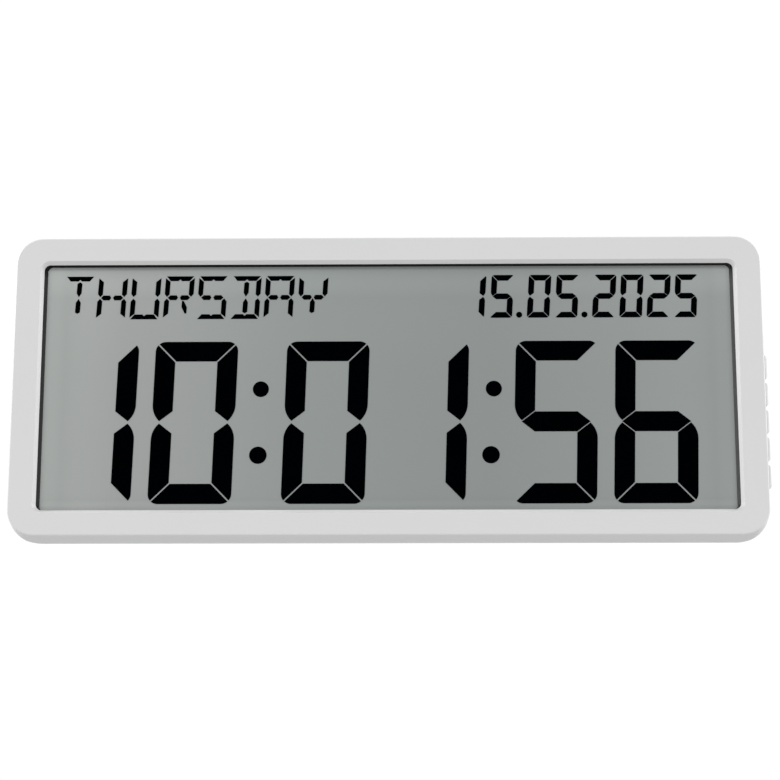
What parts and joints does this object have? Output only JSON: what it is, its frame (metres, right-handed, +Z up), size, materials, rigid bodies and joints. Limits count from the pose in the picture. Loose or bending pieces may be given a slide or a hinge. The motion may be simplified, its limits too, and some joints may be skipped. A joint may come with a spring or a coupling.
{
  "type": "radio-controlled wall clock",
  "caption": "Wide, shallow wall clock with a white moulded case, a grey reflective number display, side buttons, a battery bay, keyholes and fold-out feet.",
  "frame": {"origin": "on the back plane, midway between the round entries of the two wall keyholes", "axes": "+X to the right seen from the front, +Y out of the back towards the wall, +Z up"},
  "size_m": [0.3738, 0.028, 0.1524],
  "materials": {
    "case": "fine satin moulded plastic, warm-free white",
    "buttons": "fine satin moulded plastic",
    "gasket": "matt black foam",
    "display_face": "anti-glare film over a grey reflective display",
    "display_image": "lit strokes of the display, black",
    "glass": "clear plate glass",
    "reflector": "brushed reflective film",
    "retainer": "moulded plastic",
    "zebra": "layered silicone rubber",
    "board": "solder-masked circuit board",
    "potting": "black potting resin",
    "steel": "zinc-plated steel",
    "spring_steel": "nickel-plated spring steel",
    "capacitor": "blue shrink sleeve",
    "switch": "black moulded plastic",
    "ribbon": "grey ribbon insulation",
    "ferrite": "sintered ferrite",
    "copper": "enamelled copper wire",
    "leads": "plastic-covered wire",
    "cell": "plain sleeved dry cell"
  },
  "bodies": {
    "case": {"front_bezel": "case", "rear_cover": "case", "display_gasket": "gasket", "lcd_front_polariser": "display_face", "time_segments": "display_image", "date_segments": "display_image", "lcd_front_glass": "glass", "lcd_rear_glass": "glass", "lcd_reflector": "reflector", "lcd_retainer": "retainer", "zebra_strip": "zebra", "main_board": "board", "button_board": "board", "receiver_board": "board", "controller_chip": "potting", "retainer_screws": "steel", "board_screws": "steel", "case_screws": "steel", "crystal": "steel", "battery_springs": "spring_steel", "battery_contacts": "spring_steel", "capacitors": "capacitor", "tact_switches": "switch", "button_ribbon": "ribbon", "ferrite_rod": "ferrite", "aerial_winding": "copper", "aerial_leads": "leads", "receiver_leads": "leads", "battery_leads": "leads", "upper_cell": "cell", "lower_cell": "cell"},
    "battery_door": {"battery_door": "case"},
    "left_foot": {"left_foot": "case"},
    "right_foot": {"right_foot": "case"},
    "button_1": {"button_1": "buttons", "plunger_1": "switch"},
    "button_2": {"button_2": "buttons", "plunger_2": "switch"},
    "button_3": {"button_3": "buttons", "plunger_3": "switch"},
    "button_4": {"button_4": "buttons", "plunger_4": "switch"},
    "button_5": {"button_5": "buttons", "plunger_5": "switch"}
  },
  "joints": [
    {"name": "button_1_press", "type": "slide", "parent": "case", "child": "button_1", "axis": [-1, 0, 0], "range_m": [0, 0.0005], "stiffness_N_per_m": 3000},
    {"name": "button_2_press", "type": "slide", "parent": "case", "child": "button_2", "axis": [-1, 0, 0], "range_m": [0, 0.0005], "stiffness_N_per_m": 3000},
    {"name": "button_3_press", "type": "slide", "parent": "case", "child": "button_3", "axis": [-1, 0, 0], "range_m": [0, 0.0005], "stiffness_N_per_m": 3000},
    {"name": "button_4_press", "type": "slide", "parent": "case", "child": "button_4", "axis": [-1, 0, 0], "range_m": [0, 0.0005], "stiffness_N_per_m": 3000},
    {"name": "button_5_press", "type": "slide", "parent": "case", "child": "button_5", "axis": [-1, 0, 0], "range_m": [0, 0.0005], "stiffness_N_per_m": 3000},
    {"name": "battery_door_open", "type": "hinge", "parent": "case", "child": "battery_door", "pos_m": [0, 0, -0.0318], "axis": [1, 0, 0], "range_deg": [0, 75]},
    {"name": "left_foot_fold", "type": "hinge", "parent": "case", "child": "left_foot", "pos_m": [-0.11, -0.003, -0.111], "axis": [-1, 0, 0], "range_deg": [0, 96]},
    {"name": "right_foot_fold", "type": "hinge", "parent": "case", "child": "right_foot", "pos_m": [0.11, -0.003, -0.111], "axis": [-1, 0, 0], "range_deg": [0, 96]}
  ]
}
